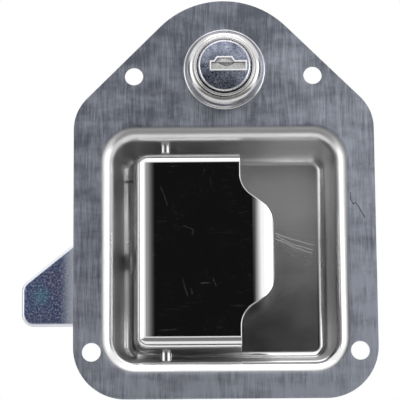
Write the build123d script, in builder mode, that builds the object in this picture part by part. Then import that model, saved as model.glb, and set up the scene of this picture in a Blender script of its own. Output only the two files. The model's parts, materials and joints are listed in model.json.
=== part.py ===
from build123d import *
from math import asin, cos, degrees, radians, sin, sqrt, tan
import os

# Flush paddle latch for a tool box: a pressed plate with a dish, a paddle hinged in the dish,
# a slam bolt that turns behind the floor, and a cam lock above that blocks the bolt.
# X is right and Z up as seen from outside, +Y goes into the box. The origin is half way
# between the two lower screw holes, on the back face of the flange. Millimetres.
# A depth is measured inward from the front face of the flange.

# Pressed plate
sheet = 1.5
plate_width = 108.0
plate_bottom = -16.7
shoulder_rise = 87.1
bottom_corner = 18.5
shoulder_corner = 16.0
top_corner = 32.0
screw_hole = 6.7
lower_screws = 95.1
upper_screws = 64.6
upper_screw_rise = 100.0

# Dish
dish_rise = 36.8
dish_width = 80.1
dish_height = 80.7
dish_corner = 8.3
dish_depth = 23.7
dish_draft = 8.5
rim_bend = 5.5
floor_bend = 3.0

# Paddle
paddle_sunk = 2.5
paddle_side_gap = 7.35
paddle_end_gap = 4.05
paddle_edge = 5.8
paddle_bend = 4.4
paddle_corner = 4.6
paddle_edge_round = 0.35
side_flange = 7.5
end_flange = 8.5
ear_radius = 5.2
nose_reach = 17.7
nose_shoulder = 27.5
nose_bend_radius = 12.0
nose_bend_start = 10.0
scoop_radius = 9.1
scoop_turn = 56.0
flange_cut_deep = 3.0
flange_cut_long = 6.0
paddle_open = 30.0

# Hinge pin of the paddle and its torsion spring
pin_from_side = 11.5
pin_depth = 9.0
pin_diameter = 4.0
pin_head = 7.0
pin_head_thick = 1.4
pin_head_round = 0.6
paddle_spring_wire = 1.0
paddle_spring_rise = 28.9
paddle_spring_turns = 5.5
paddle_spring_pitch = 1.12
paddle_spring_bore_gap = 0.4
face_leg_in = 2.2
floor_leg_in = 1.95

# Tail of the paddle, which works the bolt
tail_width = 6.4
tail_shift = 5.4
tail_jog_top = 12.5
tail_jog_bottom = 20.5
tail_past_bolt = 1.9
tail_jog_bend = 1.5
tail_slot_gap = 1.0
tail_slot_round = 1.5

# Bolt, in the dish's own height and width
bolt_thick = 3.0
pivot_up = 27.0
bolt_tip = -74.6
bolt_bottom = -24.1
bolt_shoulder = -9.1
bolt_slope = 39.0
bolt_turn = 24.0
ramp_end = -47.0
bolt_back_edge = -31.0
arm_gap = 1.0
arm_right = 13.4
arm_low = 29.5
neck_across = -6.0
neck_up = 24.0
heel_across = -8.0
window_height = 11.2
window_clear = 0.9
slam_clear = 1.0
window_round = 1.2
bolt_tip_round = 4.5
ramp_back_bend = 20.0
bolt_back_bend = 12.0
arm_round = 3.0
neck_bend = 8.0
heel_bend = 10.0
bolt_edge_round = 1.1

# Rivets and washers that carry the bolt
pivot_diameter = 8.0
guide_diameter = 6.0
guide_radius = 45.0
guide_angle = -84.0
rivet_head_over = 2.2
rivet_head_thick = 1.2
rivet_tail_thick = 1.8
washer_thick = 1.5
washer_over = 3.0

# Return spring of the bolt and its bracket
spring_wire = 1.0
spring_diameter = 6.0
eye_hole = 2.8
arm_hole_in = 2.7
arm_hole_up = 3.1
anchor_across = 26.0
anchor_up = 6.0
anchor_lift = 3.8
anchor_width = 7.0
anchor_foot = 8.0
anchor_hole_back = 3.5
anchor_hole_front = 3.0
spring_coils = 12
loop_turn = 240.0

# Lock
lock_shift = 0.4
lock_rise = 102.2
barrel_diameter = 22.0
barrel_wall = 2.8
barrel_flat_cut = 1.3
barrel_length = 26.4
barrel_chamfer = 0.5
head_over = 1.1
head_seat = 1.0
cap_thick = 0.5
cap_wall = 0.3
cap_gap = 0.3
cap_proud = 1.3
cap_skirt = 2.6
lip_wall = 0.6
lip_round = 0.25
bezel_wide = 3.4
bezel_step = 1.8
bezel_height = 5.5
bezel_bulge = 0.9
skirt_wide = 0.9
skirt_edge = 0.5
groove_deep = 0.75
groove_width = 8.0
nut_flat_over = 2.5
nut_thick = 5.0
lock_washer_wide = 2.7
lock_washer_thick = 1.2

# Keyway, shutter and wafers
slot_width = 12.3
slot_height = 2.4
slot_shift = 1.5
slot_drop = 0.1
slot_frame = 0.5
slot_frame_proud = 0.25
notch_base = 6.6
notch_top = 4.4
notch_height = 1.6
pocket_depth = 4.0
keyway_width = 9.4
keyway_height = 2.6
keyway_shift = 0.6
keyway_end = 22.0
shutter_thick = 0.5
shutter_pin_diameter = 0.8
shutter_wrap = 0.45
shutter_dip = 5.6
shutter_dip_deep = 1.2
shutter_dip_round = 0.8
shutter_dip_shift = 0.7
shutter_pin_half = 7.9
ward_deep = 2.0
ward_tall = 0.8
wafer_count = 5
wafer_thick = 1.0
wafer_height = 7.0
wafer_first = 6.0
wafer_pitch = 3.2

# Cam
cam_thick = 2.5
cam_hub = 18.0
cam_width = 9.5
cam_reach = 27.0
cam_square = 8.0
cam_tip_round = 2.0
stud_diameter = 6.0
cam_washer_diameter = 13.0
cam_washer_thick = 1.0
cam_nut_flats = 10.0
cam_nut_thick = 5.0
stud_proud = 1.2
stud_chamfer = 0.6

# Clearances
slip = 0.05
fit_gap = 0.1
lay_gap = 0.3

# The paddle and its pin are placed in the dish by its gaps to the walls
paddle_left = paddle_side_gap - dish_width / 2
paddle_half_height = dish_height / 2 - paddle_end_gap
pin_across = paddle_left + pin_from_side

# Sizes of the lock that follow its barrel, from the plug outwards
plug_diameter = barrel_diameter - 2 * barrel_wall
plug_head = plug_diameter + 2 * head_over
cap_diameter = plug_head + 2 * cap_wall
head_recess = cap_diameter + 2 * cap_gap
lip_diameter = head_recess + 2 * lip_wall
bezel_diameter = lip_diameter + 2 * bezel_wide
skirt_diameter = bezel_diameter + 2 * skirt_wide
barrel_flats = barrel_diameter - 2 * barrel_flat_cut
nut_flats = barrel_diameter + 2 * nut_flat_over
lock_washer_bore = barrel_diameter + 2 * fit_gap

os.makedirs("parts", exist_ok=True)


def level(depth):
    """Sketch plane at a depth behind the front face, centred on the dish and seen from outside."""
    return Plane(origin=(0, depth - sheet, dish_rise), x_dir=(1, 0, 0), z_dir=(0, -1, 0))


def lock_level(depth):
    """Sketch plane at a depth behind the front face, centred on the lock."""
    return Plane(origin=(lock_shift, depth - sheet, lock_rise), x_dir=(1, 0, 0), z_dir=(0, -1, 0))


def polar(centre, radius, angle):
    """Point at a radius and an angle round a centre."""
    return (centre[0] + radius * cos(radians(angle)), centre[1] + radius * sin(radians(angle)))


def save(part, name):
    part.label = name
    export_step(part, f"parts/{name}.step")


# Depths of what is stacked behind the dish floor
floor_back = dish_depth + sheet
bolt_front = floor_back + washer_thick + slip
bolt_back = bolt_front + bolt_thick
bolt_middle = (bolt_front + bolt_back) / 2
rear_washer_front = bolt_back + slip
rear_washer_back = rear_washer_front + washer_thick


def dish_half(size, depth):
    """Half the inside width or height of the dish at a depth."""
    return size / 2 - depth * tan(radians(dish_draft))


wall_slant = sheet / cos(radians(dish_draft))

# Tail of the paddle: it goes straight in from the side flange, then jogs right
tail_left = paddle_left + tail_shift
tail_right = tail_left + sheet
tail_end = bolt_back + tail_past_bolt


def swung_open(across, depth):
    """Where a point of the closed paddle has moved to, across, when the paddle is pulled open."""
    swing = radians(paddle_open)
    return pin_across + (across - pin_across) * cos(swing) + (depth - pin_depth) * sin(swing)


slot_left = tail_left - tail_slot_gap
slot_right = swung_open(tail_right, floor_back) + tail_slot_gap

# Places of the bolt's works, across and up from the centre of the dish. The pivot stands over
# the middle of the tail's travel, so that the bolt turns as far each side of it.
pivot_across = (tail_right + swung_open(tail_right, bolt_middle)) / 2
pivot = (pivot_across, pivot_up)
guide = polar(pivot, guide_radius, guide_angle)
slot_half = guide_diameter / 2 + lay_gap
arm_top = lock_rise - dish_rise - cam_reach - arm_gap
arm_hole = (arm_right - arm_hole_in, arm_low + arm_hole_up)

# Window for the tail, square to the radius at half turn. It leaves the bolt free to be slammed.
half_turn = bolt_turn / 2
window_play = tail_width / 2 * tan(radians(half_turn)) + window_clear
window_right = window_play
window_left = -2 * pivot_up * sin(radians(half_turn)) - sheet - 2 * window_play - slam_clear
window_down = pivot_up + lay_gap

# Flange with its pressed dish, drawn from one sheet
with BuildPart() as dish_plate:
    with BuildSketch(level(sheet)):
        half = plate_width / 2
        low = plate_bottom - dish_rise
        high = shoulder_rise - dish_rise
        Polygon((-half, low), (half, low), (half, high), (0, high + half), (-half, high), align=None)
        fillet(vertices().group_by(Axis.Y)[-1], top_corner)
        fillet(vertices().group_by(Axis.Y)[0], bottom_corner)
        shoulders = [v for v in vertices() if abs(v.Y - high) < 0.001]
        fillet(shoulders, shoulder_corner)
    extrude(amount=sheet)
    with BuildSketch(level(0)):
        RectangleRounded(dish_width + 2 * wall_slant, dish_height + 2 * wall_slant, dish_corner + wall_slant)
    extrude(amount=-floor_back, taper=dish_draft)
    fillet(faces().sort_by(Axis.Y)[-1].edges(), floor_bend + sheet)
    flange_back = faces().filter_by(Axis.Y).sort_by(lambda f: abs(f.center().Y))[0]
    fillet(flange_back.inner_wires()[0].edges(), rim_bend - sheet)
    with BuildSketch(level(0)):
        RectangleRounded(dish_width, dish_height, dish_corner)
    extrude(amount=-dish_depth, taper=dish_draft, mode=Mode.SUBTRACT)
    floor = faces().filter_by(Axis.Y).sort_by(lambda f: abs(f.center().Y + sheet - dish_depth))[0]
    fillet(floor.edges(), floor_bend)
    fillet(faces().sort_by(Axis.Y)[0].inner_wires()[0].edges(), rim_bend)
    # Screw holes
    with BuildSketch(level(0)):
        with Locations((0, -dish_rise)):
            with GridLocations(lower_screws, 1, 2, 1):
                Circle(screw_hole / 2)
        with Locations((0, upper_screw_rise - dish_rise)):
            with GridLocations(upper_screws, 1, 2, 1):
                Circle(screw_hole / 2)
    extrude(amount=-sheet, mode=Mode.SUBTRACT)
    # Lock hole with two flats, which keep the lock body from turning
    with BuildSketch(lock_level(0)):
        Circle(barrel_diameter / 2 + fit_gap)
        Rectangle(barrel_diameter + 1, barrel_flats + 2 * fit_gap, mode=Mode.INTERSECT)
    extrude(amount=-sheet, mode=Mode.SUBTRACT)
    # Rivet holes in the floor, and the slot that the paddle's tail swings in
    with BuildSketch(level(dish_depth)):
        with Locations(pivot):
            Circle(pivot_diameter / 2 + slip)
        with Locations(guide):
            Circle(guide_diameter / 2 + slip)
        with Locations(((slot_left + slot_right) / 2, 0)):
            RectangleRounded(slot_right - slot_left, tail_width + 2 * tail_slot_gap, tail_slot_round)
    extrude(amount=-sheet, mode=Mode.SUBTRACT)
    # Holes for the hinge pin in the top and bottom walls
    with BuildSketch(Plane.XY.offset(dish_rise)):
        with Locations((pin_across, pin_depth - sheet)):
            Circle(pin_diameter / 2 + slip)
    extrude(amount=dish_height, both=True, mode=Mode.SUBTRACT)
save(dish_plate.part, "dish_plate")

# Nose of the paddle: the sheet runs on past the right edge, bends in and ends in two scoops
with BuildPart() as nose:
    with BuildSketch(Plane.XY.offset(dish_rise)):
        front = paddle_sunk - sheet
        bend = asin((nose_reach - nose_bend_start) / nose_bend_radius)
        with BuildLine():
            Polyline(
                (nose_bend_start, front),
                (paddle_edge - 1, front),
                (paddle_edge - 1, front + sheet),
                (nose_bend_start, front + sheet),
            )
            bend_centre = (nose_bend_start, front + nose_bend_radius)
            under_arc = CenterArc(bend_centre, nose_bend_radius - sheet, -90, degrees(bend) + 5)
            outer_arc = CenterArc(bend_centre, nose_bend_radius, -90, degrees(bend) + 5)
            Line(under_arc @ 1, outer_arc @ 1)
        make_face()
    extrude(amount=nose_shoulder, both=True)
    with BuildSketch(level(0)):
        with BuildLine():
            start = Line((paddle_edge - 1, nose_shoulder), (paddle_edge, nose_shoulder))
            inward = JernArc(start @ 1, (0, -1), scoop_radius, scoop_turn)
            turn = radians(scoop_turn)
            run = (nose_reach - paddle_edge - 2 * scoop_radius * (1 - cos(turn))) / sin(turn)
            slant = Line(inward @ 1, (inward @ 1) + (inward % 1) * run)
            outward = JernArc(slant @ 1, slant % 1, scoop_radius, -scoop_turn)
            Line(outward @ 1, ((outward @ 1).X, 0))
            Line(start @ 0, (paddle_edge - 1, 0))
            mirror(about=Plane.XZ)
        make_face()
    extrude(amount=-dish_depth, mode=Mode.INTERSECT)

# Paddle: a tray folded down on three sides, with ears for the pin and a tail for the bolt
with BuildPart() as paddle:
    tray_across = (paddle_left + paddle_edge) / 2
    tray_deep = pin_depth + ear_radius - paddle_sunk
    with BuildSketch(level(paddle_sunk)):
        with Locations((tray_across, 0)):
            Rectangle(paddle_edge - paddle_left, 2 * paddle_half_height)
        fillet(vertices().group_by(Axis.X)[0], paddle_corner)
    extrude(amount=-tray_deep)
    rims = faces().sort_by(Axis.Y)[0].edges().sort_by(Axis.X)[:-1]
    fillet(rims, paddle_bend)
    with BuildSketch(level(paddle_sunk + sheet)):
        with Locations((tray_across + sheet, 0)):
            Rectangle(paddle_edge - paddle_left, 2 * (paddle_half_height - sheet))
        fillet(vertices().group_by(Axis.X)[0], paddle_corner - sheet)
    extrude(amount=-tray_deep, mode=Mode.SUBTRACT)
    under = faces().filter_by(Axis.Y).sort_by(lambda f: abs(f.center().Y - paddle_sunk))[0]
    fillet(under.edges().sort_by(Axis.X)[:-1], paddle_bend - sheet)
    # Line of the flanges seen from above, with an ear round the pin
    with BuildSketch(Plane.XY.offset(dish_rise)):
        Polygon(
            (paddle_left - 1, -sheet),
            (paddle_edge + 1, -sheet),
            (paddle_edge + 1, front + end_flange - flange_cut_deep),
            (paddle_edge - flange_cut_long, front + end_flange),
            (pin_across + ear_radius, front + end_flange),
            (pin_across - ear_radius, front + side_flange),
            (paddle_left - 1, front + side_flange),
            align=None,
        )
        with Locations((pin_across, pin_depth - sheet)):
            Circle(ear_radius)
    extrude(amount=paddle_half_height + 1, both=True, mode=Mode.INTERSECT)
    add(nose.part)
    with BuildSketch(Plane.XY.offset(dish_rise)):
        with Locations((pin_across, pin_depth - sheet)):
            Circle(pin_diameter / 2 + slip)
    extrude(amount=paddle_half_height + 1, both=True, mode=Mode.SUBTRACT)
    # Cut edge of the sheet on the right, softened on its outer side
    cut_edges = []
    for edge in edges():
        middle = edge @ 0.5
        dip = max(middle.X - nose_bend_start, 0)
        skin = front + nose_bend_radius - sqrt(nose_bend_radius**2 - min(dip, nose_bend_radius) ** 2)
        if middle.X > paddle_edge - 0.01 and abs(middle.Y - skin) < 0.01:
            cut_edges.append(edge)
    fillet(cut_edges, paddle_edge_round)
    # Tail, jogged to the right on its way to the floor slot
    with BuildSketch(Plane.XY.offset(dish_rise)):
        with BuildLine():
            Polyline(
                (paddle_left, front + side_flange - 1),
                (paddle_left, tail_jog_top - sheet),
                (tail_left, tail_jog_bottom - sheet),
                (tail_left, tail_end - sheet),
                (tail_right, tail_end - sheet),
                (tail_right, tail_jog_bottom - sheet),
                (paddle_left + sheet, tail_jog_top - sheet),
                (paddle_left + sheet, front + side_flange - 1),
                close=True,
            )
        make_face()
        for spot in ((paddle_left, tail_jog_top - sheet), (tail_right, tail_jog_bottom - sheet)):
            fillet(vertices().sort_by_distance(spot)[0], tail_jog_bend + sheet)
        for spot in ((paddle_left + sheet, tail_jog_top - sheet), (tail_left, tail_jog_bottom - sheet)):
            fillet(vertices().sort_by_distance(spot)[0], tail_jog_bend)
    extrude(amount=tail_width / 2, both=True)
save(paddle.part, "paddle")

# Hinge pin: a head above the top wall and a staked end below the bottom wall
with BuildPart() as paddle_pin:
    wall_at_pin = dish_half(dish_height, pin_depth - pin_head / 2) + wall_slant + fit_gap
    with BuildSketch(Plane.XY.offset(dish_rise - wall_at_pin)):
        with Locations((pin_across, pin_depth - sheet)):
            Circle(pin_diameter / 2)
    extrude(amount=2 * wall_at_pin)
    for side in (1, -1):
        with BuildSketch(Plane.XY.offset(dish_rise + side * wall_at_pin)):
            with Locations((pin_across, pin_depth - sheet)):
                Circle(pin_head / 2)
        extrude(amount=side * pin_head_thick)
    fillet(edges().group_by(Axis.Z)[-1], pin_head_round)
    fillet(edges().group_by(Axis.Z)[0], pin_head_round)
save(paddle_pin.part, "paddle_pin")


def wire_along(line, width):
    """Round wire of a width along a line."""
    with BuildPart() as wire:
        with BuildSketch(Plane(origin=line @ 0, z_dir=line % 0)):
            Circle(width / 2)
        sweep(path=line)
    return wire.part


def coil_on(plane, pitch, length, radius):
    """Helix that winds along a plane's normal and starts on its X axis."""
    with BuildLine() as winding:
        Helix(pitch, length, radius)
    return plane.location * winding.wires()[0]


# Torsion spring round the pin: one leg bears on the dish floor, the other under the paddle
coil_mean = pin_diameter / 2 + paddle_spring_bore_gap + paddle_spring_wire / 2
coil_length = paddle_spring_turns * paddle_spring_pitch
coil_bottom = dish_rise + paddle_spring_rise - coil_length
coil_plane = Plane(origin=(pin_across, pin_depth - sheet, coil_bottom), x_dir=(0, -1, 0), z_dir=(0, 0, 1))
torsion_coil = coil_on(coil_plane, paddle_spring_pitch, coil_length, coil_mean)
torsion_wire = wire_along(torsion_coil, paddle_spring_wire)
face_rest = paddle_sunk + sheet + paddle_spring_wire / 2 + lay_gap
floor_rest = dish_depth - paddle_spring_wire / 2 - lay_gap
floor_reach = floor_leg_in - dish_half(dish_width, dish_depth)
leg_starts = (torsion_coil @ 0, torsion_coil @ 1)
leg_ends = (
    Vector(paddle_left + sheet + face_leg_in, face_rest - sheet, leg_starts[0].Z),
    Vector(floor_reach, floor_rest - sheet, leg_starts[1].Z),
)
with BuildPart() as paddle_spring:
    add(torsion_wire)
    for leg_start, leg_end in zip(leg_starts, leg_ends):
        with BuildSketch(Plane(origin=leg_start, z_dir=leg_end - leg_start)):
            Circle(paddle_spring_wire / 2)
        extrude(amount=(leg_end - leg_start).length)
        with Locations(leg_start):
            Sphere(paddle_spring_wire / 2)
save(paddle_spring.part, "paddle_spring")

# Bolt: a flat plate with a ramped nose, a window for the tail, an arc slot and an arm
with BuildPart() as bolt:
    ramp_back = (ramp_end, bolt_shoulder + (ramp_end - bolt_tip) * tan(radians(bolt_slope)))
    corners = (
        ((bolt_tip, bolt_bottom), bolt_tip_round),
        ((bolt_tip, bolt_shoulder), bolt_tip_round),
        (ramp_back, ramp_back_bend),
        ((bolt_back_edge, arm_top), bolt_back_bend),
        ((arm_right, arm_top), arm_round),
        ((arm_right, arm_low), arm_round),
        ((neck_across, neck_up), neck_bend),
        ((heel_across, bolt_bottom), heel_bend),
    )
    with BuildSketch(level(bolt_front)):
        with BuildLine():
            Polyline(*[spot for spot, bend in corners], close=True)
        make_face()
        for spot, bend in corners:
            fillet(vertices().sort_by_distance(spot)[0], bend)
    extrude(amount=-bolt_thick)
    fillet(faces().sort_by(Axis.Y)[0].outer_wire().edges(), bolt_edge_round)
    with BuildSketch(level(bolt_front)):
        with Locations(pivot):
            Circle(pivot_diameter / 2 + slip)
        with Locations(arm_hole):
            Circle(eye_hole / 2)
        with Locations(Location((pivot_across, pivot_up), -half_turn)):
            with Locations(((window_left + window_right) / 2, -window_down)):
                RectangleRounded(window_right - window_left, window_height, window_round)
        with BuildLine():
            near = CenterArc(pivot, guide_radius - slot_half, guide_angle - bolt_turn, bolt_turn)
            far = CenterArc(pivot, guide_radius + slot_half, guide_angle - bolt_turn, bolt_turn)
            Line(near @ 0, far @ 0)
            Line(near @ 1, far @ 1)
        make_face()
        with Locations(guide, polar(pivot, guide_radius, guide_angle - bolt_turn)):
            Circle(slot_half)
    extrude(amount=-bolt_thick, mode=Mode.SUBTRACT)
save(bolt.part, "bolt")


def floor_rivet(place, diameter):
    """Rivet through the dish floor that carries the bolt between two washers."""
    with BuildPart() as rivet:
        with BuildSketch(level(dish_depth)):
            with Locations(place):
                Circle(diameter / 2 + rivet_head_over)
        extrude(amount=rivet_head_thick)
        fillet(edges().group_by(Axis.Y)[0], rivet_head_thick / 2)
        with BuildSketch(level(dish_depth)):
            with Locations(place):
                Circle(diameter / 2)
        extrude(amount=dish_depth - rear_washer_back)
        with BuildSketch(level(rear_washer_back)):
            with Locations(place):
                Circle(diameter / 2 + rivet_head_over)
        extrude(amount=-rivet_tail_thick)
        fillet(edges().group_by(Axis.Y)[-1], rivet_head_thick)
    return rivet.part


def flat_ring(plane, outer, inner, thick):
    """Washer that lies behind a plane."""
    with BuildPart() as ring:
        with BuildSketch(plane):
            Circle(outer / 2)
            Circle(inner / 2, mode=Mode.SUBTRACT)
        extrude(amount=-thick)
    return ring.part


for name, place, diameter in (("pivot", pivot, pivot_diameter), ("guide", guide, guide_diameter)):
    save(floor_rivet(place, diameter), f"{name}_rivet")
    for side, depth in (("front", floor_back), ("rear", rear_washer_front)):
        seat = Plane(origin=level(depth).from_local_coords(place), x_dir=(1, 0, 0), z_dir=(0, -1, 0))
        washer = flat_ring(seat, diameter + 2 * washer_over, diameter + 2 * slip, washer_thick)
        save(washer, f"{name}_washer_{side}")

# Bracket for the bolt spring, spot welded behind the floor and folded back over its foot
pull = Vector(anchor_across - arm_hole[0], 0, anchor_up - arm_hole[1]).normalized()
tab_front = floor_back + anchor_lift
tab_middle = tab_front + sheet / 2
with BuildPart() as spring_anchor:
    bracket_side = Plane(
        origin=(anchor_across, -sheet, dish_rise + anchor_up), x_dir=pull, z_dir=(-pull.Z, 0, pull.X)
    )
    with BuildSketch(bracket_side):
        with BuildLine():
            heel = anchor_hole_back
            Polyline(
                (heel - anchor_foot, floor_back),
                (heel, floor_back),
                (heel, tab_front + sheet),
                (-anchor_hole_front, tab_front + sheet),
                (-anchor_hole_front, tab_front),
                (heel - sheet, tab_front),
                (heel - sheet, floor_back + sheet),
                (heel - anchor_foot, floor_back + sheet),
                close=True,
            )
        make_face()
        for spot in ((heel, floor_back), (heel, tab_front + sheet)):
            fillet(vertices().sort_by_distance(spot)[0], sheet + 0.4)
        for spot in ((heel - sheet, tab_front), (heel - sheet, floor_back + sheet)):
            fillet(vertices().sort_by_distance(spot)[0], 0.4)
    extrude(amount=anchor_width / 2, both=True)
    with BuildSketch(level(tab_front)):
        with Locations((anchor_across, anchor_up)):
            Circle(eye_hole / 2)
    extrude(amount=-sheet, mode=Mode.SUBTRACT)
save(spring_anchor.part, "spring_anchor")

# Tension spring from the bolt's arm to the bracket, with a loop at each end
loop = (spring_diameter - spring_wire) / 2
arm_eye = Vector(arm_hole[0], bolt_middle - sheet, dish_rise + arm_hole[1])
anchor_eye = Vector(anchor_across, tab_middle - sheet, dish_rise + anchor_up)
span = (anchor_eye - arm_eye).length
along = (anchor_eye - arm_eye).normalized()
spring_plane = Plane(origin=arm_eye, x_dir=along, z_dir=along.cross(Vector(0, 1, 0)))
coiled = span - 4 * loop
tension_plane = Plane(
    origin=spring_plane.from_local_coords((2 * loop, 0)), x_dir=spring_plane.y_dir, z_dir=along
)
tension_coil = coil_on(tension_plane, coiled / spring_coils, coiled, loop)
spring_pieces = [wire_along(tension_coil, spring_wire)]
for side, centre in ((1, loop), (-1, span - loop)):
    with BuildLine(spring_plane) as hook:
        Line((centre + side * loop, loop), (centre, loop))
        CenterArc((centre, 0), loop, 90, side * loop_turn)
    spring_pieces.append(wire_along(hook.wires()[0], spring_wire))
with BuildPart() as bolt_spring:
    add(spring_pieces)
    with Locations(tension_coil @ 0, tension_coil @ 1):
        Sphere(spring_wire / 2)
save(bolt_spring.part, "bolt_spring")

# Lock body: a domed bezel outside and a threaded barrel with two flats inside
lock_side = Plane(origin=(lock_shift, -sheet, lock_rise), x_dir=(1, 0, 0), z_dir=(0, 0, 1))
lock_axis = Axis((lock_shift, 0, lock_rise), (0, 1, 0))
plug_bore = plug_diameter / 2 + slip
with BuildPart() as lock_housing:
    with BuildSketch(lock_side):
        with BuildLine():
            dome = ThreePointArc(
                (lip_diameter / 2, -bezel_height),
                (
                    (lip_diameter + bezel_diameter) / 4 + bezel_bulge * 0.7,
                    -(bezel_height + bezel_step) / 2 - bezel_bulge * 0.7,
                ),
                (bezel_diameter / 2, -bezel_step),
            )
            Polyline(
                dome @ 1,
                (skirt_diameter / 2, -skirt_edge),
                (skirt_diameter / 2, 0),
                (barrel_diameter / 2, 0),
                (barrel_diameter / 2, barrel_length),
                (plug_bore, barrel_length),
                (plug_bore, head_seat),
                (head_recess / 2, head_seat),
                (head_recess / 2, -bezel_height),
                dome @ 0,
            )
        make_face()
    revolve(axis=lock_axis)
    fillet(faces().sort_by(Axis.Y)[0].edges(), lip_round)
    with BuildSketch(lock_level(0)):
        Circle(barrel_diameter / 2 + 1)
        Rectangle(barrel_diameter + 2, barrel_flats, mode=Mode.SUBTRACT)
    extrude(amount=-barrel_length, mode=Mode.SUBTRACT)
    # Grooves that the wafers spring out into, in both key positions
    with BuildSketch(lock_level(wafer_first - wafer_thick)):
        for turn in (0, 90):
            Rectangle(2 * (plug_bore + groove_deep), groove_width, rotation=turn)
    extrude(amount=wafer_first - wafer_thick - barrel_length, mode=Mode.SUBTRACT)
    chamfer(edges().filter_by(GeomType.CIRCLE).group_by(Axis.Y)[-1].sort_by(SortBy.RADIUS)[-2:], barrel_chamfer)
save(lock_housing.part, "lock_housing")

# Plug: a head in the bezel, a body with a keyway and wafer slots, and a tail that turns the cam
cap_face = -(bezel_height + cap_proud)
head_face = cap_face + cap_thick
tail_from = barrel_length + slip
cam_back = tail_from + cam_thick
cam_washer_back = cam_back + cam_washer_thick
stud_end = cam_washer_back + cam_nut_thick + stud_proud
pocket_back = head_face + pocket_depth
slot_centre = (slot_shift, -slot_drop)
slot_top = slot_height / 2 - slot_drop
hinge_up = -slot_height / 2 - slot_drop - shutter_pin_diameter / 2
hinge_in = head_face + shutter_pin_diameter / 2 + shutter_wrap + fit_gap
with BuildPart() as lock_plug:
    with BuildSketch(lock_level(head_face)):
        Circle(plug_head / 2)
    extrude(amount=head_face - head_seat + slip)
    with BuildSketch(lock_level(head_seat - slip)):
        Circle(plug_diameter / 2)
    extrude(amount=head_seat - slip - tail_from)
    with BuildSketch(lock_level(tail_from)):
        Rectangle(cam_square, cam_square)
    extrude(amount=-cam_thick)
    with BuildSketch(lock_level(cam_back)):
        Circle(stud_diameter / 2)
    extrude(amount=cam_back - stud_end)
    chamfer(edges().group_by(Axis.Y)[-1], stud_chamfer)
    # Pocket behind the face in which the shutter swings
    with BuildSketch(lock_level(head_face)):
        pocket_low = hinge_up - shutter_pin_diameter / 2 - shutter_wrap - fit_gap
        pocket_high = slot_top + fit_gap
        with Locations((slot_shift, (pocket_low + pocket_high) / 2)):
            Rectangle(slot_width + 2 * fit_gap, pocket_high - pocket_low)
    extrude(amount=-pocket_depth, mode=Mode.SUBTRACT)
    # Keyway and the slots that the wafers slide in
    with BuildSketch(lock_level(pocket_back)):
        with Locations((keyway_shift, -slot_drop)):
            Rectangle(keyway_width, keyway_height)
    extrude(amount=pocket_back - keyway_end, mode=Mode.SUBTRACT)
    for count in range(wafer_count):
        with BuildSketch(lock_level(wafer_first + count * wafer_pitch - slip)):
            Rectangle(plug_diameter, wafer_height + 2 * slip)
        extrude(amount=-wafer_thick - 2 * slip, mode=Mode.SUBTRACT)
    # Rounded boss that fills the notch in the cap, and a ward seen through the shutter's dip
    with BuildSketch(lock_level(head_face)):
        boss_high = notch_height - 3 * fit_gap
        boss_radius = (notch_top**2 / 4 + boss_high**2) / (2 * boss_high)
        with Locations((0, slot_top + fit_gap + boss_high - boss_radius)):
            Circle(boss_radius)
        with Locations((0, slot_top + fit_gap + notch_height / 2)):
            Rectangle(notch_base, notch_height, mode=Mode.INTERSECT)
    extrude(amount=cap_thick)
    with BuildSketch(lock_level(pocket_back - ward_deep)):
        with Locations((shutter_dip_shift, slot_top + fit_gap - ward_tall / 2)):
            Rectangle(shutter_dip - 1, ward_tall)
    extrude(amount=-ward_deep)
    # Hole for the shutter's pin
    with BuildSketch(Plane.YZ.offset(lock_shift)):
        with Locations((hinge_in - sheet, lock_rise + hinge_up)):
            Circle(shutter_pin_diameter / 2)
    extrude(amount=shutter_pin_half, both=True, mode=Mode.SUBTRACT)
save(lock_plug.part, "lock_plug")

# Keyhole outline: the slot with a tapered notch above it
with BuildSketch(Plane.XY) as keyhole:
    with Locations(slot_centre):
        Rectangle(slot_width, slot_height)
    Polygon(
        (-notch_base / 2, slot_top - 0.1),
        (notch_base / 2, slot_top - 0.1),
        (notch_top / 2, slot_top + notch_height),
        (-notch_top / 2, slot_top + notch_height),
        align=None,
    )

# Pressed cap over the head of the plug, with a thin raised edge round the keyhole
with BuildPart() as plug_cap:
    with BuildSketch(lock_level(cap_face)):
        Circle(cap_diameter / 2)
    extrude(amount=-cap_skirt)
    fillet(edges().group_by(Axis.Y)[0], cap_thick)
    with BuildSketch(lock_level(head_face)):
        Circle(plug_head / 2)
    extrude(amount=-cap_skirt, mode=Mode.SUBTRACT)
    with BuildSketch(lock_level(cap_face)):
        add(keyhole.sketch)
        offset(amount=slot_frame)
    extrude(amount=slot_frame_proud)
    fillet(edges().group_by(Axis.Y)[0], slot_frame_proud * 0.6)
    with BuildSketch(lock_level(head_face)):
        add(keyhole.sketch)
    extrude(amount=cap_thick + slot_frame_proud, mode=Mode.SUBTRACT)
save(plug_cap.part, "plug_cap")

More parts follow.
